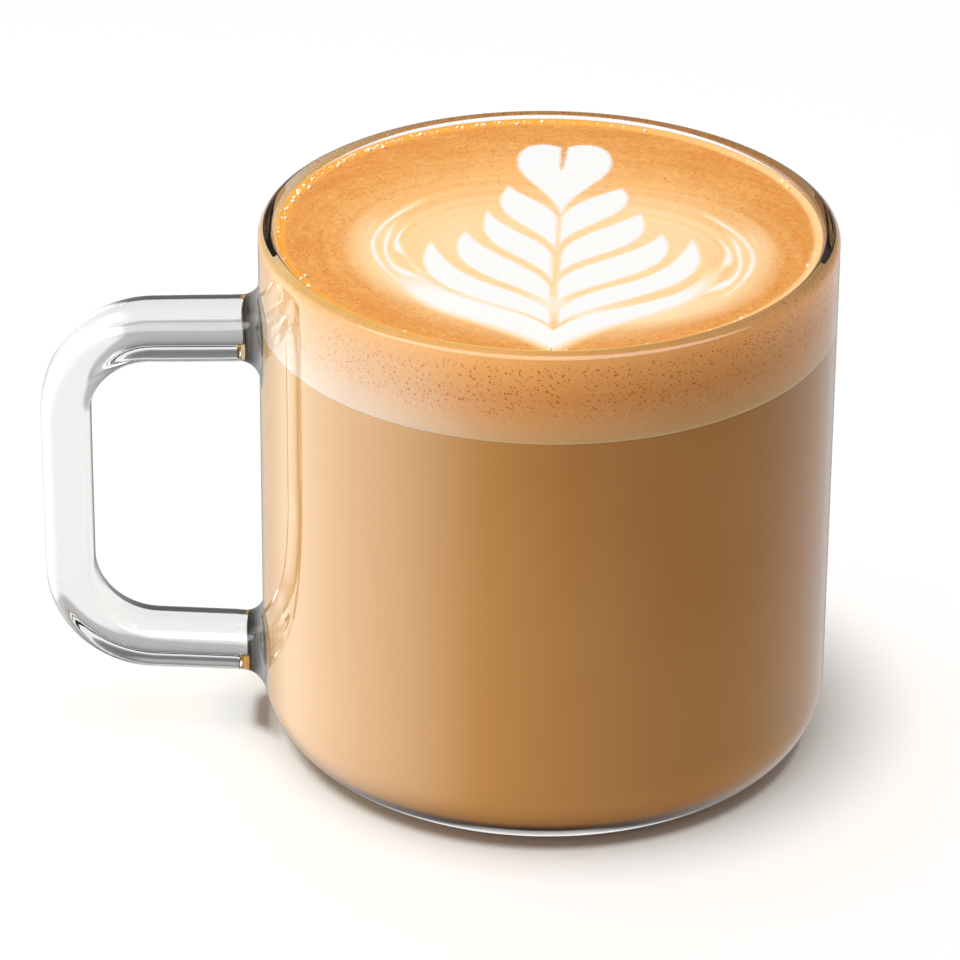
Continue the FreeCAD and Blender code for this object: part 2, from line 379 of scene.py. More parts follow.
def bubble_mask(tree: Tree, place: Socket, spacing: float, radius: Pair, blur: float = 0.05) -> Socket:
    """Scatters round bubbles of uneven size.

    Each Voronoi cell holds one bubble: a spot is inside where its distance to the cell's point
    is less than the cell's own radius.  A radius below nothing leaves the cell empty.

    Args:
        tree: The material's nodes.
        place: The pattern's coordinates.
        spacing: Mean distance between bubbles, in metres.
        radius: Least and largest radius, as shares of the spacing.
        blur: Width of the soft edge, as a share of the spacing.

    Returns:
        A socket that is 1 inside the bubbles.
    """
    cells = add_node(tree, "TexVoronoi", {
        "Vector": place, "Scale": 1 / spacing, "Randomness": 1.0}).node.outputs
    size = add_node(tree, "MapRange", span(cells["Color"], 0.0, 1.0, *radius))
    inside = add_node(tree, "Math", {0: size, 1: cells["Distance"]}, operation="SUBTRACT")
    return add_node(tree, "MapRange", span(inside, -blur, blur / 2))


@dataclass(frozen=True)
class FoamSide:
    """Milk foam pressed against the glass: amber at the top, fawn below, full of fine bubbles.

    Light soaks into it from the top, to the depth given, and the red in it goes deepest.
    Heights are shares of the foam's own height; the shaded pair of colours is painted light and
    shade for the handle's side, which faces the key light.
    """

    upper: str = "FFC072"
    middle: str = "E9A35B"
    lower: str = "E1AD76"
    # Painted light and shade: the pair of colours for the handle's side, which faces the key light.
    shaded: str = "DBA548"
    shaded_low: str = "D7C1AC"
    pore: str = "CE7528"
    cream: str = "F7E6CF"
    heights: Triple = (0.04, 0.5, 0.9)
    shaded_from: float = -0.85
    mottling: float = 1.3 * MM
    mottle_span: Pair = (0.45, 0.7)
    mottle_share: float = 0.08
    bubbles: tuple[tuple[float, Pair, float], ...] = (
        (0.5 * MM, (0.05, 0.26), 0.35), (0.55 * MM, (0.1, 0.37), 1.0))
    bubbles_from: Pair = (0.12, 0.45)
    bubbles_to: Pair = (0.93, 0.8)
    depth: float = 4.0 * MM
    reddening: Triple = (1.0, 0.6, 0.3)
    soak: float = 0.8
    roughness: float = 0.6
    gloss: float = 0.1

    def material(self, fit: Fit) -> Material:
        """Builds the side of the foam.

        Args:
            fit: Sizes of the cup, for the changes of colour upwards and across.

        Returns:
            The material.
        """
        material, tree = new_material("milk_foam_side")
        place = add_node(tree, "TexCoord", out="Object")
        parts = add_node(tree, "SeparateXYZ", {0: place}).node.outputs
        rise = add_node(tree, "MapRange", span(parts["Z"], fit.coffee_top, fit.foam_lip))
        shades = add_node(tree, "ValToRGB", {0: rise})
        ramp = shades.node.color_ramp
        ramp.elements[0].position, ramp.elements[0].color = self.heights[0], srgb(self.lower)
        ramp.elements[1].position, ramp.elements[1].color = self.heights[2], srgb(self.upper)
        ramp.elements.new(self.heights[1]).color = srgb(self.middle)
        # Painted light and shade: towards -X the colours turn to the handle side's pair.
        beside = add_node(tree, "MapRange", span(parts["X"], 0.0, self.shaded_from * fit.inner), **EASED)
        key_side_colour = add_node(tree, "Mix", {0: rise, 6: srgb(self.shaded_low), 7: srgb(self.shaded)}, **COLOURS)
        mottle = add_node(tree, "TexNoise", {
            "Vector": place, "Scale": 1 / self.mottling, "Detail": 3.0, "Distortion": 1.5}, out="Fac")
        patch = add_node(tree, "MapRange", span(mottle, *self.mottle_span, 0.0, self.mottle_share))
        colour = add_node(tree, "Mix", {0: beside, 6: shades, 7: key_side_colour}, **COLOURS)
        colour = add_node(tree, "Mix", {0: patch, 6: colour, 7: srgb(self.cream)}, **COLOURS)
        band, fade = [add_node(tree, "MapRange", span(rise, low, high), **EASED)
                      for low, high in (self.bubbles_from, self.bubbles_to)]
        for spacing, radius, strength in self.bubbles:
            share = bubble_mask(tree, place, spacing, radius)
            for part in (band, fade, strength):
                share = add_node(tree, "Math", {0: share, 1: part}, operation="MULTIPLY")
            colour = add_node(tree, "Mix", {0: share, 6: colour, 7: srgb(self.pore)}, **COLOURS)
        surface = add_node(tree, "BsdfPrincipled", {
            "Base Color": colour, "Roughness": self.roughness, "Specular IOR Level": self.gloss,
            "Subsurface Weight": self.soak, "Subsurface Radius": self.reddening,
            "Subsurface Scale": self.depth})
        add_node(tree, "OutputMaterial", {"Surface": surface})
        return material


@dataclass(frozen=True)
class Crema:
    """Brown crema with white milk poured into it: satin, finely pored, with soft streaks.

    The poured figure comes from the mesh's own attributes: "milk" is the distance in
    millimetres to the edge of the white, less than nothing inside it, "veil" is how much thin
    milk lies over the crema, and "streak" is the lighter and darker rings of the swirl.
    The ring is where the tone changes from inner to outer, as shares of the cavity's radius.
    """

    white: str = "E9E8E6"
    veil: str = "F3D09F"
    inner: str = "EAAF69"
    outer: str = "D38A40"
    edge: str = "F8A840"
    pale_edge: str = "F2C189"
    pore: str = "A65A20"
    ring: Pair = (0.5, 0.9)
    darkest: float = 0.78
    cloud_size: float = 9 * MM
    clouding: float = 0.7
    streaking: float = 0.16
    grain: float = 1.0 * MM
    graining: float = 1.5
    pore_spacing: float = 0.85 * MM
    pore_radius: Pair = (-0.1, 0.27)
    pore_share: float = 0.75
    pore_depth: float = 0.1 * MM
    bumpiness: float = 0.25
    softness: float = 0.42
    inset: float = 0.12
    edge_width: float = 1.7 * MM
    edge_share: float = 0.9
    roughness: float = 0.45
    gloss: float = 0.2

    def material(self, fit: Fit) -> Material:
        """Builds the top of the foam.

        Args:
            fit: Sizes of the cup, for the ring at the wall.

        Returns:
            The material.
        """
        material, tree = new_material("milk_foam_top")
        place = add_node(tree, "TexCoord", out="Object")
        flat = add_node(tree, "VectorMath", {0: place, 1: (1, 1, 0)}, operation="MULTIPLY")
        radius = add_node(tree, "VectorMath", {0: flat}, out="Value", operation="LENGTH")
        milk, veil, streak = [add_node(tree, "Attribute", out="Fac", attribute_name=name)
                              for name in ("milk", "veil", "streak")]
        clouds = add_node(tree, "TexNoise", {
            "Vector": place, "Scale": 1 / self.cloud_size, "Detail": 3.0}, out="Fac")
        grain = add_node(tree, "TexNoise", {
            "Vector": place, "Scale": 1 / self.grain, "Detail": 2.0, "Distortion": 1.4}, out="Fac")

        turning = [part * fit.inner for part in self.ring]
        tone = add_node(tree, "MapRange", span(radius, *turning, 0.0, self.darkest))
        drift = add_node(tree, "Math", {
            0: clouds, 1: self.clouding, 2: -self.clouding / 2}, operation="MULTIPLY_ADD")
        waved = add_node(tree, "Math", {0: streak, 1: self.streaking, 2: drift}, operation="MULTIPLY_ADD")
        wormy = add_node(tree, "Math", {
            0: grain, 1: self.graining, 2: -self.graining / 2}, operation="MULTIPLY_ADD")
        rough = add_node(tree, "Math", {0: waved, 1: wormy}, operation="ADD")
        tone = add_node(tree, "Math", {0: tone, 1: rough}, operation="ADD", use_clamp=True)
        colour = add_node(tree, "Mix", {0: tone, 6: srgb(self.inner), 7: srgb(self.outer)}, **COLOURS)
        pore = bubble_mask(tree, place, self.pore_spacing, self.pore_radius)
        part = add_node(tree, "Math", {0: pore, 1: self.pore_share}, operation="MULTIPLY")
        colour = add_node(tree, "Mix", {0: part, 6: colour, 7: srgb(self.pore)}, **COLOURS)
        colour = self.edged(tree, place, radius, colour, fit)
        colour = self.milked(tree, colour, milk, veil, grain)

        dent = add_node(tree, "Math", {0: pore, 1: -1.0, 2: grain}, operation="MULTIPLY_ADD")
        bump = add_node(tree, "Bump", {
            "Strength": self.bumpiness, "Distance": self.pore_depth, "Height": dent})
        surface = add_node(tree, "BsdfPrincipled", {
            "Base Color": colour, "Roughness": self.roughness, "Specular IOR Level": self.gloss,
            "Normal": bump})
        add_node(tree, "OutputMaterial", {"Surface": surface})
        return material

    def edged(self, tree: Tree, place: Socket, radius: Socket, under: Socket, fit: Fit) -> Socket:
        """Lays the bright ring over the crema, where it thins out against the wall.

        The ring is amber on the handle's side and paler on the far side, where more milk went.

        Args:
            tree: The material's nodes.
            place: Where on the foam.
            radius: Distance from the upright axis.
            under: The crema's colour.
            fit: Sizes of the cup.

        Returns:
            The colour with its ring.
        """
        across = add_node(tree, "SeparateXYZ", {0: place}, out="X")
        paler = add_node(tree, "MapRange", span(across, 0.0, fit.inner), **EASED)
        rim = add_node(tree, "Mix", {0: paler, 6: srgb(self.edge), 7: srgb(self.pale_edge)}, **COLOURS)
        start, stop = fit.inner - self.edge_width, fit.inner - 0.5 * self.edge_width
        near = add_node(tree, "MapRange", span(radius, start, stop, 0.0, self.edge_share), **EASED)
        return add_node(tree, "Mix", {0: near, 6: under, 7: rim}, **COLOURS)

    def milked(self, tree: Tree, under: Socket, milk: Socket, veil: Socket, grain: Socket) -> Socket:
        """Lays the milk over the crema: thin milk is cream coloured, thick milk is white.

        Args:
            tree: The material's nodes.
            under: The crema's colour.
            milk: Distance to the edge of the white, in millimetres.
            veil: Thickness of the thin milk.
            grain: The crema's grain, which frays the edge of the white.

        Returns:
            The colour with its milk.
        """
        thin = add_node(tree, "MapRange", span(veil, 0.0, 0.5))
        thick = add_node(tree, "MapRange", span(veil, 0.5, 1.0))
        cream = add_node(tree, "Mix", {0: thin, 6: under, 7: srgb(self.veil)}, **COLOURS)
        ragged = add_node(tree, "Math", {0: grain, 1: 0.5, 2: self.inset - 0.25}, operation="MULTIPLY_ADD")
        shore = add_node(tree, "Math", {0: milk, 1: ragged}, operation="ADD")
        white = add_node(tree, "MapRange", span(shore, self.softness, -self.softness), **EASED)
        most = add_node(tree, "Math", {0: white, 1: thick}, operation="MAXIMUM")
        return add_node(tree, "Mix", {0: most, 6: cream, 7: srgb(self.white)}, **COLOURS)


# ---------------------------------------------------------------- the glass


@dataclass
class GlassCup:
    """The cup and its handle as one closed skin."""

    fit: Fit
    foot_round: float = 10.0 * MM
    cavity_round: float = 8.0 * MM
    rim_outer: float = 1.2 * MM
    rim_inner: float = 0.8 * MM
    upper_bar: float = 69.3 * MM
    lower_bar: float = 13.4 * MM
    bend: float = 14.0 * MM
    upper_slope: float = math.radians(1.0)
    lower_slope: float = math.radians(2.0)
    upper_size: Pair = (12.5 * MM, 8.2 * MM)
    grip_size: Pair = (11.6 * MM, 7.7 * MM)
    lower_size: Pair = (10.6 * MM, 7.7 * MM)
    squareness: float = 3.3
    flare: float = 3.0 * MM
    flare_rows: int = 9
    run_out: float = 1.5 * MM
    columns: int = 288
    across: int = 20
    upward: int = 16
    spacing: float = 0.98 * MM
    trim: float = 0.05 * MM
    # Painted shade: the rows of each flare given here take a near-black glass, standing in for the dark
    # look that the flare's bending of light gives the clear glass.
    painted_shade_rows: tuple[int, int] = (2, 10)
    finish: ClearGlass = ClearGlass()
    joint_painted_shade: ClearGlass = ClearGlass("fused_joint_painted_shade", "14181C")

    def profile(self) -> Array:
        """The wall's section, from the middle of the foot out, up, over the rim and back down inside."""
        fit = self.fit
        corners = [(POLE, 0.0), (fit.radius, 0.0), (fit.radius, fit.height), (fit.inner, fit.height),
                   (fit.inner, fit.floor), (POLE, fit.floor)]
        return rounded_path(
            corners, [self.foot_round, self.rim_outer, self.rim_inner, self.cavity_round], self.spacing)

    def wall_radius(self, height: Array) -> Array:
        """The outside's radius at a height: the straight wall, or the round corner of the foot below it."""
        drop = np.clip(self.foot_round - height, 0.0, self.foot_round)
        return self.fit.radius - self.foot_round + np.sqrt(self.foot_round ** 2 - drop ** 2)

    def frame_square(self) -> Array:
        """Places round a square from -1 to 1, in the order of a hole's edge seen from outside."""
        along = np.linspace(-1, 1, self.across + 1)
        up = np.linspace(-1, 1, self.upward + 1)
        ones, rises = np.ones(self.across), np.ones(self.upward)
        first = np.concatenate([along[:-1], rises, along[:0:-1], -rises])
        second = np.concatenate([-ones, up[:-1], ones, up[:0:-1]])
        return np.stack([first, second], -1)

    def bar_outline(self) -> Array:
        """The bar's section as a superellipse: (p, q) / (|p|^n + |q|^n)^(1/n), for p, q round a square."""
        square = self.frame_square()
        power = self.squareness
        return square / ((np.abs(square) ** power).sum(1) ** (1 / power))[:, None]

    def root(self, level: float, size: Pair, flip: int, hole: Array) -> Array:
        """The rings where a bar runs into the wall.

        Between the hole in the wall and the foot of the flare the rings slide over the wall's
        own surface.  The flare is a quarter circle: its distance from the bar is f (1 - sin a)
        and its height over the wall is f (1 - cos a), for a from nothing to a right angle.

        Args:
            level: Height of the bar's middle.
            size: Width and thickness of the bar.
            flip: 1 where the bar's outer side is up, -1 where it is down.
            hole: Places of the hole's edge, in the order of the bar's outline.

        Returns:
            Rings by places by 3, from the wall outwards.
        """
        outline = self.bar_outline()
        half = np.array(size) / 2
        rings = []
        foot = self.on_wall(-outline[:, 0] * (half[0] + self.flare),
                            level + flip * outline[:, 1] * (half[1] + self.flare), 0.0)
        for share in (1 / 3, 2 / 3):
            flat = hole + (foot - hole) * share
            rings.append(self.on_wall(flat[:, 1], flat[:, 2], 0.0))
        for angle in np.linspace(0, math.pi / 2, self.flare_rows):
            gap, height = self.flare * (1 - math.sin(angle)), self.flare * (1 - math.cos(angle))
            rings.append(self.on_wall(-outline[:, 0] * (half[0] + gap),
                                      level + flip * outline[:, 1] * (half[1] + gap), height))
        return np.array(rings)

    def on_wall(self, sideways: Array, height: Array, off: float) -> Array:
        """Places a given distance off the handle's side of the wall: x = -(sqrt(R(z)^2 - y^2) + off)."""
        depth = np.sqrt(self.wall_radius(height) ** 2 - sideways ** 2) + off
        return np.stack([-depth, sideways, height], -1)

    def route(self) -> tuple[Array, Array]:
        """The bar's middle line and the direction of its outer side.

        Returns:
            Places (x, z) and outer directions (x, z), from the upper root to the lower one.
        """
        grip = self.fit.reach + self.grip_size[1] / 2 + self.trim
        start, clear = -self.fit.radius, self.flare + self.run_out
        upper_end = (grip, self.upper_bar - (start - grip) * math.tan(self.upper_slope))
        lower_end = (grip, self.lower_bar + (start - grip) * math.tan(self.lower_slope))
        first = (start - clear, self.upper_bar - clear * math.tan(self.upper_slope))
        last = (start - clear, self.lower_bar + clear * math.tan(self.lower_slope))
        line = rounded_path([first, upper_end, lower_end, last], [self.bend, self.bend], self.spacing)
        ahead = np.gradient(line, axis=0)
        ahead /= np.linalg.norm(ahead, axis=1)[:, None]
        return line, np.stack([ahead[:, 1], -ahead[:, 0]], -1)

    def bar(self) -> Array:
        """The swept bar between the two flares, its section blended from root to grip to root."""
        line, outer = self.route()
        share = np.linspace(0, 1, len(line))
        sizes = [np.array(size) / 2 for size in (self.upper_size, self.grip_size, self.lower_size)]
        to_grip, to_root = smooth(0.0, 0.5, share)[:, None], smooth(0.5, 1.0, share)[:, None]
        half = sizes[0] + (sizes[1] - sizes[0]) * to_grip + (sizes[2] - sizes[1]) * to_root
        outline = self.bar_outline()
        side = -outline[None, :, 0] * half[:, :1]
        lift = outline[None, :, 1] * half[:, 1:]
        return np.stack([line[:, :1] + outer[:, :1] * lift, side, line[:, 1:] + outer[:, 1:] * lift], -1)

    def hole(self, index: Array, level: float, profile: Array) -> tuple[slice, slice, Array]:
        """Chooses the wall's cells that a bar replaces.

        Args:
            index: Vertex numbers of the wall, rows by columns.
            level: Height of the bar's middle.
            profile: The wall's section.

        Returns:
            The rows and columns of the cells, and the vertex numbers of their edge.
        """
        outside = np.flatnonzero(profile[:, 0] > (self.fit.radius + self.fit.inner) / 2)
        middle = int(outside[np.argmin(np.abs(profile[outside, 1] - level))])
        low, left = middle - self.upward // 2, self.columns // 2 - self.across // 2
        high, right = low + self.upward, left + self.across
        edge = np.concatenate([index[low, left:right], index[low:high, right],
                               index[high, right:left:-1], index[high:low:-1, left]])
        return slice(low, high), slice(left, right), edge

    def build(self) -> Piece:
        """Joins the wall and the handle into one closed mesh.

        Returns:
            The finished piece.
        """
        profile = self.profile()
        wall = turned(profile, self.columns)
        rows = len(profile)
        index = np.arange(rows * self.columns).reshape(rows, self.columns)
        points = [wall.reshape(-1, 3)]
        kept = np.ones((rows - 1, self.columns), bool)
        edges = []
        for level in (self.upper_bar, self.lower_bar):
            tall, wide, edge = self.hole(index, level, profile)
            kept[tall, wide] = False
            edges.append(edge)
        quads = [grid_faces(closed(index)).reshape(rows - 1, self.columns, 4)[kept]]

        count = len(edges[0])
        mirror = (2 * self.across + self.upward - np.arange(count)) % count
        upper = self.root(self.upper_bar, self.upper_size, 1, points[0][edges[0]])
        lower = self.root(self.lower_bar, self.lower_size, -1, points[0][edges[1][mirror]])
        tube = np.concatenate([upper, self.bar(), lower[::-1]])
        inner = index.size + np.arange(tube.shape[0] * count).reshape(tube.shape[:2])
        table = np.concatenate([edges[0][None], inner, edges[1][mirror][None]])
        quads.append(grid_faces(closed(table)))
        points.append(tube.reshape(-1, 3))

        poles = index.size + inner.size + np.arange(2)
        points.append(np.array([[0, 0, 0], [0, 0, self.fit.floor]], float))
        fans = np.concatenate([fan(poles[0], index[0], False), fan(poles[1], index[-1], True)])
        step = np.arange(len(table) - 1)
        # Painted shade: these rows of the flares take the near-black glass.
        start, stop = self.painted_shade_rows
        from_root = np.minimum(step, step[::-1])
        fused = (from_root >= start) & (from_root < stop)
        second = np.concatenate([np.zeros(len(quads[0])), np.repeat(fused, count), np.zeros(len(fans))])
        piece = make_piece("glass_cup", np.concatenate(points), np.concatenate(quads), fans,
                           [self.finish.material(), self.joint_painted_shade.material()], second)
        return ride_as(piece, "mug")


# ---------------------------------------------------------------- the drink


@dataclass
class Coffee:
    """The milky coffee, reaching just into the glass so that no air shows between them."""

    fit: Fit
    bite: float = BITE
    cavity_round: float = 8.0 * MM
    top_round: float = 0.3 * MM
    columns: int = 256
    spacing: float = 1.2 * MM
    finish: MilkyCoffee = MilkyCoffee()

    def build(self) -> Piece:
        """Turns the outline of the drink round the upright axis.

        Returns:
            The finished piece.
        """
        fit = self.fit
        wide, low = fit.inner + self.bite, fit.floor - self.bite
        profile = rounded_path([(POLE, low), (wide, low), (wide, fit.coffee_top), (POLE, fit.coffee_top)],
                               [self.cavity_round + self.bite, self.top_round], self.spacing)
        points = turned(profile, self.columns).reshape(-1, 3)
        index = np.arange(len(points)).reshape(-1, self.columns)
        fans = np.concatenate([fan(index.size, index[0], False), fan(index.size + 1, index[-1], True)])
        ends = np.array([[0, 0, low], [0, 0, fit.coffee_top]], float)
        piece = make_piece("coffee_drink", np.concatenate([points, ends]), grid_faces(closed(index)),
                           fans, [self.finish.material(fit)])
        return ride_as(piece, "coffee")


# ---------------------------------------------------------------- the poured leaf


def bezier(start: Pair, pull: Pair, lead: Pair, end: Pair, count: int = 36) -> Array:
    """Points along a cubic curve: the four places weighted by (1-t)^3, 3t(1-t)^2, 3t^2(1-t), t^3."""
    t = np.linspace(0, 1, count)[:, None]
    a, b, c, d = (np.array(spot, float) for spot in (start, pull, lead, end))
    return (1 - t) ** 3 * a + 3 * t * (1 - t) ** 2 * b + 3 * t ** 2 * (1 - t) * c + t ** 3 * d


def signed_distance(spots: Array, outline: Array) -> Array:
    """Distance to a closed outline, less than nothing inside it.

    The distance is the least one to any of its straight edges; a spot is inside when a ray
    from it crosses the edges an odd number of times.

    Args:
        spots: Places, n by 2.
        outline: The outline's corners, m by 2.

    Returns:
        One distance for each spot.
    """
    nearest = np.full(len(spots), np.inf)
    inside = np.zeros(len(spots), bool)
    for here, after in zip(outline, np.roll(outline, -1, axis=0)):
        edge, offset = after - here, spots - here
        share = np.clip(offset @ edge / max(edge @ edge, 1e-12), 0, 1)
        nearest = np.minimum(nearest, ((offset - share[:, None] * edge) ** 2).sum(1))
        crosses = (here[1] > spots[:, 1]) != (after[1] > spots[:, 1])
        rise = np.where(edge[1] == 0, 1.0, edge[1])
        inside ^= crosses & (spots[:, 0] < here[0] + edge[0] * (spots[:, 1] - here[1]) / rise)
    return np.where(inside, -1, 1) * np.sqrt(nearest)


class Side(Enum):
    """A side of the poured figure, with the middle of the rings that the pour left there, in mm."""

    LEFT = (-6.0, -4.2)
    RIGHT = (10.0, -8.0)


@dataclass(frozen=True)
class Leaf:
    """One white leaf, in millimetres on the foam: two cubic edges from its tip to the stem.

    over and under hold each edge's pull, lead and end.
    """

    tip: Pair
    over: tuple[Pair, Pair, Pair]
    under: tuple[Pair, Pair, Pair]

    def outline(self) -> Array:
        """The closed outline: the upper edge in, then the lower edge back to the tip."""
        return np.concatenate([bezier(self.tip, *self.over), bezier(self.tip, *self.under)[::-1]])


@dataclass(frozen=True)
class PouredLeaf:
    """The white figure: a heart, four leaves a side, a soft band below them and wisps at its ends."""

    heart_notch: Pair = (2.7, 31.2)
    heart_tip: Pair = (1.9, 5.0)
    heart_half_width: float = 7.6
    heart_widest: float = 26.3
    heart_crown: float = 35.4
    crease: tuple[Pair, Pair] = ((2.7, 31.4), (2.2, 23.5))
    crease_width: float = 0.42
    leaves: tuple[Leaf, ...] = (
        Leaf((-6.3, 17.3), ((-3.5, 12.5), (2.0, 9.5), (1.4, 3)), ((-11.5, 5), (0, 2), (0.9, -7))),
        Leaf((-9.5, 8.6), ((-7.5, 0), (0, -1.5), (0.5, -9)), ((-13, -7.5), (-2, -7), (0.4, -18))),
        Leaf((-13, 0.6), ((-10, -8), (-1.5, -12.5), (0, -19)), ((-19.5, -16), (0.5, -18.5), (0.3, -28))),
        Leaf((-18.2, -3.1), ((-13.5, -20), (-7.5, -16.5), (0, -27)),
             ((-24.5, -22.5), (-3.5, -24.5), (0, -33))),
        Leaf((11.7, 16.7), ((7, 13.5), (1.5, 9.5), (1.8, 3)), ((16.5, 5.5), (0, 2.5), (1.3, -8))),
        Leaf((14.3, 7.5), ((10, 2), (1.5, -1.5), (1.7, -9)), ((18.5, -8.5), (0, -6.5), (1, -19))),
        Leaf((17.4, 0.1), ((14.5, -8.5), (0, -11.5), (1, -20)), ((23.5, -16), (-0.5, -18), (1, -27))),
        Leaf((22, -1.6), ((17.5, -20.5), (7, -16), (1.2, -27)), ((28.5, -22), (5.5, -22.5), (1, -32.5))),
    )
    band_inside: tuple[Pair, ...] = (
        (-20.2, -5), (-22, -25.5), (-4.5, -24), (0.4, -34), (6.5, -22.5), (26, -28), (24, -4))
    band_outside: tuple[Pair, ...] = (
        (-26, -7), (-23.5, -31.5), (-11.5, -28), (0.3, -41.5), (10.5, -28), (26, -30), (28, -7))
    band_softness: float = 1.6
    band_shore: Pair = (-0.25, 0.35)
    band_rise: Pair = (-24.0, -6.0)
    side_change: Pair = (-6.0, 9.0)
    ring_reach: Pair = (15.5, 23.5)
    halo_middle: Pair = (1.5, -8.0)
    halo_reach: Pair = (19.0, 34.0)
    halo_level: float = 0.44
    halo_rise: Pair = (2.0, 20.0)
    swirl_pitch: float = 2.9725
    swirl_reach: tuple[float, float, float, float] = (12.0, 17.0, 24.0, 30.0)
    swirl_level: float = 0.1
    side_reach: tuple[float, float, float, float] = (16.0, 21.0, 22.0, 27.0)
    side_level: float = 0.3
    wisp_pitch: float = 2.05
    wisp_foot: Pair = (-1.0, -0.55)
    wisp_beside: Pair = (15.0, 20.0)
    wisp_drift: float = 6.97

    def heart_outline(self) -> Array:
        """The heart: for each side one curve over the lobe and one down to the stem."""
        notch, tip = np.array(self.heart_notch), np.array(self.heart_tip)
        halves = []
        for side in (-1, 1):
            wide = np.array([notch[0] + side * self.heart_half_width, self.heart_widest])
            over = bezier(notch, notch + (side * 0.7, 2.2), (wide[0], self.heart_crown), wide)
            down = bezier(wide, wide - (0, 7.5), tip + (side * 0.4, 9.8), tip)
            halves.append(np.concatenate([over, down]))
        return np.concatenate([halves[0], halves[1][::-1]])

    def milk(self, spots: Array) -> Array:
        """Distance in millimetres to the edge of the thick white, less than nothing inside it."""
        shapes = [self.heart_outline()] + [leaf.outline() for leaf in self.leaves]
        white = np.min([signed_distance(spots, shape) for shape in shapes], axis=0)
        start, end = np.array(self.crease)
        along = end - start
        share = np.clip((spots - start) @ along / (along @ along), 0, 1)
        off = np.linalg.norm(spots - start - share[:, None] * along, axis=1)
        return np.maximum(white, self.crease_width * (1 - 0.85 * share) - off)

    def rings(self, spots: Array) -> tuple[Array, Array]:
        """The rings that the pour left on each side of the stem.

        Returns:
            The distance to the middle of the rings of the nearer side, and the height over it
            as a share of that distance, from -1 below to 1 above.
        """
        share = smooth(*self.side_change, spots[:, 0])
        radius, lift = np.zeros(len(spots)), np.zeros(len(spots))
        for side, part in ((Side.LEFT, 1 - share), (Side.RIGHT, share)):
            offset = spots - side.value
            length = np.hypot(offset[:, 0], offset[:, 1])
            radius += part * length
            lift += part * offset[:, 1] / np.maximum(length, 1e-6)
        return radius, lift

    def band(self, spots: Array) -> Array:
        """How thick the lowest band is: crisp against the last leaves, soft outwards and upwards."""
        edges = []
        for places in (self.band_inside, self.band_outside):
            edges.append(np.concatenate([bezier(*places[:4]), bezier(*places[3:])]))
        past_inside = signed_distance(spots, edges[0])
        past_outside = signed_distance(spots, edges[1])
        soft = self.band_softness
        white = smooth(*self.band_shore, past_inside) * (1 - smooth(-1.2 * soft, soft, past_outside))
        return white * (1 - 0.85 * smooth(*self.band_rise, spots[:, 1]))

    def wisps(self, spots: Array) -> Array:
        """White strands at the ends of the band: wavering rings, each fading out at its own height."""
        radius, lift = self.rings(spots)
        waver = 0.45 * np.sin(3.1 * lift + 0.6 * radius) + 0.25 * np.sin(8.0 * lift + 1.7 * radius)
        path = radius + waver
        wave = 0.5 + 0.5 * np.sin(2 * math.pi * path / self.wisp_pitch)
        slow = 0.5 + 0.5 * np.sin(2 * math.pi * path / self.wisp_drift + 1.0)
        inner, outer = self.ring_reach
        reach = smooth(inner, inner + 2.0, radius) * (1 - smooth(outer - 4.0, outer + 1.0, radius))
        end = 0.35 + 0.4 * slow
        height = smooth(*self.wisp_foot, lift) * (1 - smooth(end - 0.35, end + 0.25, lift))
        beside = smooth(*self.wisp_beside, np.abs(spots[:, 0] - 2.0))
        return (0.3 + 1.0 * wave ** 2) * (0.75 + 0.25 * slow) * reach * height * beside

    def halo(self, spots: Array) -> Array:
        """Thin milk round the whole figure, thinner above it and outwards."""
        offset = spots - self.halo_middle
        radius = np.hypot(offset[:, 0], offset[:, 1])
        return (1 - smooth(*self.halo_reach, radius)) * (1 - 0.7 * smooth(*self.halo_rise, spots[:, 1]))

    def veil(self, spots: Array) -> Array:
        """Thickness of the thin milk, 0 to 1: 0.5 is cream and 1 is white."""
        radius, lift = self.rings(spots)
        path = radius + 0.7 * np.sin(2.6 * lift + 0.35 * radius)
        swirl = 0.5 + 0.5 * np.sin(2 * math.pi * path / self.swirl_pitch + 2.0 * lift)
        drawn, beside = [smooth(*reach[:2], radius) * (1 - smooth(*reach[2:], radius))
                         for reach in (self.swirl_reach, self.side_reach)]
        thin = self.halo_level * self.halo(spots) * (0.94 + 0.12 * swirl)
        thin += self.swirl_level * swirl * drawn * smooth(-0.2, 0.4, lift)
        sides = self.side_level * beside * (1 - smooth(0.1, 0.7, lift))
        return np.clip(np.maximum(np.maximum(thin + sides, self.wisps(spots)), self.band(spots)), 0, 1)


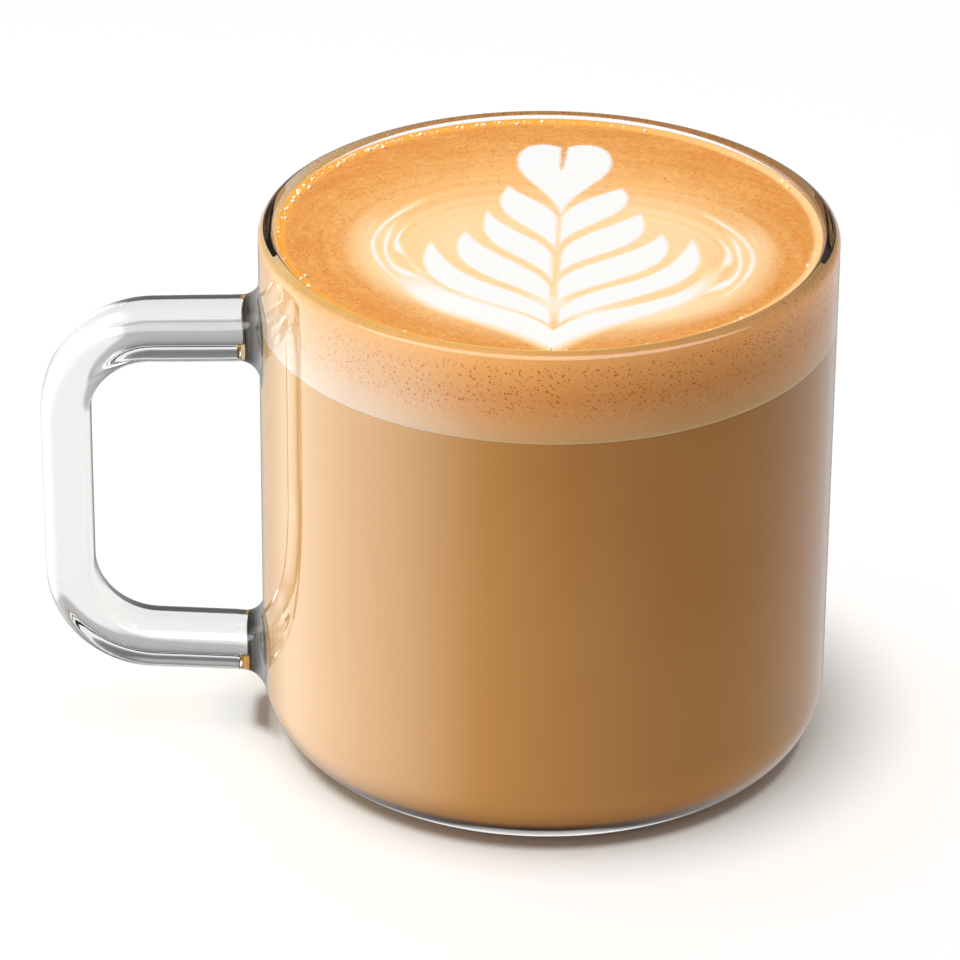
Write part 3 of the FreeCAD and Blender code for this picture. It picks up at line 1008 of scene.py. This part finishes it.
@dataclass
class Foam:
    """The layer of foam: a level top with the poured leaf, and a side against the glass."""

    fit: Fit
    bite: float = BITE
    meniscus: float = 0.35 * MM
    meniscus_width: float = 1.3 * MM
    cells: int = 256
    side_rows: int = 20
    relief: float = 0.06 * MM
    streak_pitches: tuple[float, ...] = (1.3, 1.9, 2.7, 3.8, 5.2)
    uneven_pitches: tuple[float, ...] = (14.0, 9.0, 5.0, 3.1, 1.9)
    seed: int = 7
    leaf: PouredLeaf = PouredLeaf()
    top_finish: Crema = Crema()
    side_finish: FoamSide = FoamSide()

    def disc(self) -> Array:
        """An even grid over a disc.

        A square is folded onto the disc: the larger of its two coordinates becomes the radius
        and their ratio the angle, so the cells stay nearly equal.

        Returns:
            Places in metres, rows by columns by 2.
        """
        line = np.linspace(-1, 1, self.cells + 1)
        across, up = np.meshgrid(line, line)
        level = np.abs(across) >= np.abs(up)
        radius = np.where(level, across, up)
        ratio = np.where(level, up, across) / np.where(radius == 0, 1.0, radius)
        angle = np.where(level, math.pi / 4 * ratio, math.pi / 2 - math.pi / 4 * ratio)
        size = (self.fit.inner + self.bite) * radius
        return np.stack([size * np.cos(angle), size * np.sin(angle)], -1)

    def streaks(self, spots: Array) -> Array:
        """Rings of the swirl: sines of the distance from the ring's middle, warped round the circle."""
        random = np.random.default_rng(self.seed)
        radius, lift = self.leaf.rings(spots)
        total = np.zeros(len(spots))
        for pitch in self.streak_pitches:
            phase, warp = random.uniform(0, 2 * math.pi), random.uniform(0.5, 1.5)
            turns = random.integers(1, 4)
            path = radius + warp * np.sin(turns * lift * 2 + phase)
            fade = 0.5 + 0.5 * np.sin(3 * lift + random.uniform(0, 2 * math.pi))
            total += fade * np.sin(2 * math.pi * path / pitch + phase)
        return total / 2.5

    def top_height(self, spots: Array, milk: Array) -> Array:
        """Height of the top: level, a little uneven, raised where milk lies, climbing at the wall."""
        radius = np.hypot(spots[:, 0], spots[:, 1])
        random = np.random.default_rng(self.seed + 1)
        uneven = np.zeros(len(spots))
        for pitch in self.uneven_pitches:
            heading, phase = random.uniform(0, 2 * math.pi, 2)
            along = spots[:, 0] * math.cos(heading) + spots[:, 1] * math.sin(heading)
            uneven += pitch / self.uneven_pitches[0] * np.sin(2 * math.pi * along / pitch + phase)
        inner, width = self.fit.inner / MM, self.meniscus_width / MM
        climb = np.clip((radius - (inner - width)) / width, 0, 1) ** 2
        level = self.fit.foam_lip - self.meniscus
        poured = 1 - smooth(-0.6, 0.3, milk)
        raised = 0.25 * uneven * (1 - climb) + 0.5 * poured - 0.5
        return level + self.meniscus * climb + self.relief * raised

    def build(self) -> Piece:
        """Makes the closed layer and stores the poured figure on its vertices.

        Returns:
            The finished piece.
        """
        fit, rows = self.fit, self.cells + 1
        disc = self.disc().reshape(-1, 2)
        spots = disc / MM
        milk = self.leaf.milk(spots)
        top = np.column_stack([disc, self.top_height(spots, milk)])
        index = np.arange(rows * rows).reshape(rows, rows)
        rim = np.concatenate([index[0, :-1], index[:-1, -1], index[-1, :0:-1], index[:0:-1, 0]])
        levels = np.linspace(fit.coffee_top, fit.foam_lip, self.side_rows + 1)[:-1]
        side = np.empty((self.side_rows, len(rim), 3))
        side[:, :, :2] = disc[rim]
        side[:, :, 2] = levels[:, None]
        lower = len(top) + np.arange(self.side_rows * len(rim)).reshape(self.side_rows, -1)
        skirt = np.concatenate([lower, rim[None]])
        pole = len(top) + lower.size
        points = np.concatenate([top, side.reshape(-1, 3), [[0, 0, fit.coffee_top]]])
        flat, upright = grid_faces(index), grid_faces(closed(skirt))
        under = fan(pole, lower[0], False)
        beside = np.repeat([0, 1], [len(flat), len(upright) + len(under)])
        piece = make_piece("milk_foam", points, np.concatenate([flat, upright]), under,
                           [self.top_finish.material(fit), self.side_finish.material(fit)], beside)
        for name, values in (("milk", milk), ("veil", self.leaf.veil(spots)),
                             ("streak", self.streaks(spots))):
            stored = np.zeros(len(points), np.float32)
            stored[:len(top)] = values
            piece.data.attributes.new(name, "FLOAT", "POINT").data.foreach_set("value", stored)
        return ride_as(piece, "foam")


@dataclass(frozen=True)
class FrothBead:
    """One small bubble of froth: a thin, wet, nearly white skin."""

    skin: str = "FBEFDC"
    shade: str = "F4CB92"
    patch: float = 0.9 * MM
    roughness: float = 0.25

    def material(self) -> Material:
        """Builds the froth, a little darker where a bubble is thin."""
        material, tree = new_material("froth")
        place = add_node(tree, "TexCoord", out="Object")
        patchy = add_node(tree, "TexNoise", {"Vector": place, "Scale": 1 / self.patch}, out="Fac")
        colour = add_node(tree, "Mix", {0: patchy, 6: srgb(self.shade), 7: srgb(self.skin)}, **COLOURS)
        surface = add_node(tree, "BsdfPrincipled", {"Base Color": colour, "Roughness": self.roughness})
        add_node(tree, "OutputMaterial", {"Surface": surface})
        return material


@dataclass
class LipBubbles:
    """Beads of froth along the wall, thickest at the back left, all in one mesh."""

    fit: Fit
    count: int = 260
    smallest: float = 0.14 * MM
    largest: float = 0.42 * MM
    froth_share: float = 0.6
    froth_angle: Pair = (2.35, 0.42)
    scatter: float = 0.45 * MM
    sunk: float = 0.3 * MM
    lowest: float = -0.35
    rings: int = 3
    spokes: int = 8
    seed: int = 11
    finish: FrothBead = FrothBead()

    def build(self) -> Piece:
        """Copies one dome to every bead's place.

        The dome is a half ball: r cos u round the upright axis at r sin u, for u from just
        under the rim to the pole.  A bead stands on the foam, touching the wall or near it.

        Returns:
            The finished piece.
        """
        random = np.random.default_rng(self.seed)
        froth = random.uniform(size=self.count) < self.froth_share
        near = random.normal(*self.froth_angle, self.count)
        angle = np.where(froth, near, random.uniform(0, 2 * math.pi, self.count))
        size = self.smallest + (self.largest - self.smallest) * random.uniform(size=self.count) ** 3
        away = self.fit.inner - size - np.abs(random.normal(0, self.scatter, self.count))
        level = np.full(self.count, self.fit.foam_lip - self.sunk)
        middle = np.stack([away * np.cos(angle), away * np.sin(angle), level], -1)

        rise = np.linspace(self.lowest, math.pi / 2, self.rings + 1)[:-1]
        dome = turned(np.stack([np.cos(rise), np.sin(rise)], -1), self.spokes).reshape(-1, 3)
        dome = np.concatenate([dome, [[0, 0, 1], [0, 0, math.sin(rise[0])]]])
        index = np.arange(self.rings * self.spokes).reshape(self.rings, self.spokes)
        top, bottom = index.size, index.size + 1
        quads = grid_faces(closed(index))
        fans = np.concatenate([fan(top, index[-1], True), fan(bottom, index[0], False)])
        points = middle[:, None] + dome[None] * size[:, None, None]
        shift = np.arange(self.count)[:, None, None] * len(dome)
        piece = make_piece("lip_bubbles", points.reshape(-1, 3), (quads[None] + shift).reshape(-1, 4),
                           (fans[None] + shift).reshape(-1, 3), [self.finish.material()])
        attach(piece, "root")
        return piece


# ---------------------------------------------------------------- the studio


@dataclass(frozen=True)
class Fade:
    """A smooth change along one part of a heading: low where the part is start, high where it is stop.

    along is "X", "Y", "Z", or "aside" for the size of X.
    """

    along: str
    start: float
    stop: float
    low: float = 0.0
    high: float = 1.0

    def inputs(self, parts: dict[str, Socket]) -> dict:
        """What its node takes in, with the heading's own part as the value."""
        return span(parts[self.along], self.start, self.stop, self.low, self.high)


Banks = tuple[tuple[Fade, ...], ...]


@dataclass
class Studio:
    """A white floor, a soft key light from the left, one overhead, a pale surround and the camera.

    The surround is a wide dim canopy for soft light, one map for what polished glass reflects
    (a tall bank on the left, a pale wall behind, one bank over the rim and one at the foot), and
    one for what is seen bent through it (the floor, a dark band over the horizon, pale overhead).
    """

    fit: Fit
    camera_place: Triple = (-0.0104, -0.7593, 0.4434)
    camera_tilt: float = math.radians(27.82)
    camera_roll: float = math.radians(0.42)
    lens: float = 203.5
    sensor: float = 36.0
    floor_half: float = 3.0
    floor_drop: float = 0.02 * MM
    floor_colour: str = "FEFEFE"
    key_place: Triple = (-1.09, -0.40, 0.36)
    key_size: float = 0.9
    key_power: float = 10.6
    overhead_place: Triple = (-0.14, -0.10, 2.3)
    overhead_size: float = 0.68
    overhead_power: float = 38.5
    canopy: float = 0.65
    canopy_edge: Pair = (0.56, 0.88)
    dim_room: float = 0.03
    canopy_lean: Triple = (-0.16, 0.16, 1.0)
    leftward: Fade = Fade("X", -0.4, -0.65)
    reflected: Banks = (
        (Fade("X", -0.3, -0.98, 0.0, 3.0), Fade("Y", 0.5, 0.8, 1.0, 0.35)),
        (Fade("Y", -0.4, 0.7, 0.1, 0.85), Fade("Z", 0.0, 0.4, 1.0, 0.35),
         Fade("aside", 0.04, 0.36, 0.3, 1.0)),
        (Fade("Z", 0.4, 0.6, 0.0, 5.0), Fade("Y", 0.1, -0.1)),
        (Fade("Z", -0.62, -0.74, 0.0, 2.1), Fade("Y", 0.14, 0.28), Fade("aside", 0.2, 0.06)),
    )
    refracted: Banks = (
        (Fade("Z", -0.2, -0.36, 0.0, 0.95), Fade("aside", 0.5, 0.75, 1.0, 0.3)),
        (Fade("Z", -0.25, 0.3, 0.52, 0.1), Fade("aside", 0.5, 0.75, 1.0, 0.3)),
        (Fade("Z", 0.6, 0.85, 0.0, 0.8), Fade("aside", 0.5, 0.75, 1.0, 0.3)),
    )

    def camera(self) -> None:
        """Places the camera, looking along +Y and down."""
        data = bpy.data.cameras.new("camera")
        data.lens, data.sensor_width = self.lens, self.sensor
        data.clip_start, data.clip_end = 0.01, 20.0
        view = bpy.data.objects.new("camera", data)
        tilt = Matrix.Rotation(math.pi / 2 - self.camera_tilt, 4, "X")
        roll = Matrix.Rotation(self.camera_roll, 4, "Z")
        view.matrix_world = Matrix.Translation(self.camera_place) @ tilt @ roll
        bpy.context.scene.collection.objects.link(view)
        bpy.context.scene.camera = view

    def floor(self) -> Piece:
        """A matt white floor, just under the foot; the glass shows the surround's own floor instead."""
        half = self.floor_half
        points = half * np.array([[-1, -1, 0], [1, -1, 0], [1, 1, 0], [-1, 1, 0]], float)
        points[:, 2] = -self.floor_drop
        material, tree = new_material("white_floor")
        surface = add_node(tree, "BsdfPrincipled", {
            "Base Color": srgb(self.floor_colour), "Roughness": 0.9, "Specular IOR Level": 0.0})
        add_node(tree, "OutputMaterial", {"Surface": surface})
        floor = make_piece("floor", points, np.array([[0, 1, 2, 3]]), np.empty((0, 3), int), [material])
        floor.visible_glossy = False
        floor.visible_transmission = False
        return floor

    def lamp(self, name: str, place: Triple, size: float, power: float) -> Piece:
        """Hangs one round soft light, aimed at the middle of the cup and not seen by the glass.

        Args:
            name: The light's name.
            place: Its middle.
            size: Its width.
            power: Its power in watts.

        Returns:
            The light.
        """
        data = bpy.data.lights.new(name, "AREA")
        data.shape, data.size, data.energy = "DISK", size, power
        light = bpy.data.objects.new(name, data)
        middle = Vector(place)
        aim = Vector((0, 0, self.fit.height / 2)) - middle
        light.matrix_world = Matrix.Translation(middle) @ aim.to_track_quat("-Z", "Y").to_matrix().to_4x4()
        light.visible_glossy = False
        light.visible_transmission = False
        bpy.context.scene.collection.objects.link(light)
        return light

    def lamps(self, floor: Piece) -> None:
        """The key light, low on the left and kept off the floor, and a smaller light overhead."""
        key = self.lamp("key", self.key_place, self.key_size, self.key_power)
        key.data.use_shadow = False
        kept_off = bpy.data.collections.new("kept_off_floor")
        kept_off.objects.link(floor)
        key.light_linking.receiver_collection = kept_off
        kept_off.collection_objects[0].light_linking.link_state = "EXCLUDE"
        self.lamp("overhead", self.overhead_place, self.overhead_size, self.overhead_power)

    def glow(self, tree: Tree, parts: dict[str, Socket], banks: Banks, join: str) -> Socket:
        """Builds one map of the sky from banks of light, each the product of its fades.

        Args:
            tree: The world's nodes.
            parts: The heading's X, Y and Z, and the size of X.
            banks: The banks of the map.
            join: How two banks meet, "ADD" or "MAXIMUM".

        Returns:
            The strength of the light from each heading.
        """
        total = 0.0
        for bank in banks:
            level = 1.0
            for fade in bank:
                part = add_node(tree, "MapRange", fade.inputs(parts), **EASED)
                level = add_node(tree, "Math", {0: level, 1: part}, operation="MULTIPLY")
            total = add_node(tree, "Math", {0: total, 1: level}, operation=join)
        return total

    def surround(self) -> None:
        """Hangs the three maps, chosen by the kind of ray, with plain white for the eye.

        A ray that has been mirrored before it leaves to the left, such as the handle's image in
        the wall, also reads the map of what is reflected.
        """
        world = bpy.data.worlds.new("studio")
        bpy.context.scene.world = world
        world.use_nodes = True
        world.cycles.sampling_method = "NONE"
        tree = world.node_tree
        tree.nodes.clear()
        heading = add_node(tree, "TexCoord", out="Generated")
        parts = dict(add_node(tree, "SeparateXYZ", {0: heading}).node.outputs.items())
        parts["aside"] = add_node(tree, "Math", {0: parts["X"]}, operation="ABSOLUTE")
        path = add_node(tree, "LightPath").node.outputs
        leftward = add_node(tree, "MapRange", self.leftward.inputs(parts), **EASED)
        mirrored = add_node(tree, "Math", {0: path["Glossy Depth"], 1: leftward}, operation="MULTIPLY")
        bent = add_node(tree, "Math", {
            0: path["Is Transmission Ray"], 1: mirrored}, operation="SUBTRACT", use_clamp=True)
        axis = tuple(Vector(self.canopy_lean).normalized())
        along = add_node(tree, "VectorMath", {0: heading, 1: axis}, out="Value", operation="DOT_PRODUCT")
        edge = span(along, *self.canopy_edge, self.dim_room, self.canopy)
        canopy = add_node(tree, "MapRange", edge, **EASED)
        strength = self.glow(tree, parts, self.reflected, "ADD")
        for kind, level in ((bent, self.glow(tree, parts, self.refracted, "MAXIMUM")),
                            (path["Is Diffuse Ray"], canopy), (path["Is Camera Ray"], 1.0)):
            strength = add_node(tree, "Mix", {0: kind, 2: strength, 3: level}, data_type="FLOAT")
        background = add_node(tree, "Background", {"Color": (1, 1, 1, 1), "Strength": strength})
        add_node(tree, "OutputWorld", {"Surface": background})

    def build(self) -> None:
        """Sets the whole studio up, with plain colours in the picture."""
        self.camera()
        self.lamps(self.floor())
        self.surround()
        scene = bpy.context.scene
        scene.view_settings.view_transform = "Standard"
        for name, value in (("caustics_refractive", False), ("caustics_reflective", False),
                            ("max_bounces", 16), ("transmission_bounces", 14),
                            ("glossy_bounces", 8), ("transparent_max_bounces", 16)):
            setattr(scene.cycles, name, value)


def main() -> None:
    """Builds the latte and its studio."""
    logging.basicConfig(level=logging.INFO, format="%(name)s: %(message)s")
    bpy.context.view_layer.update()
    fit = Fit.read()
    Studio(fit).build()
    for maker in (GlassCup(fit), Coffee(fit), Foam(fit), LipBubbles(fit)):
        piece = maker.build()
        LOG.info("%s: %d faces", piece.name, len(piece.data.polygons))


if __name__ == "__main__":
    main()
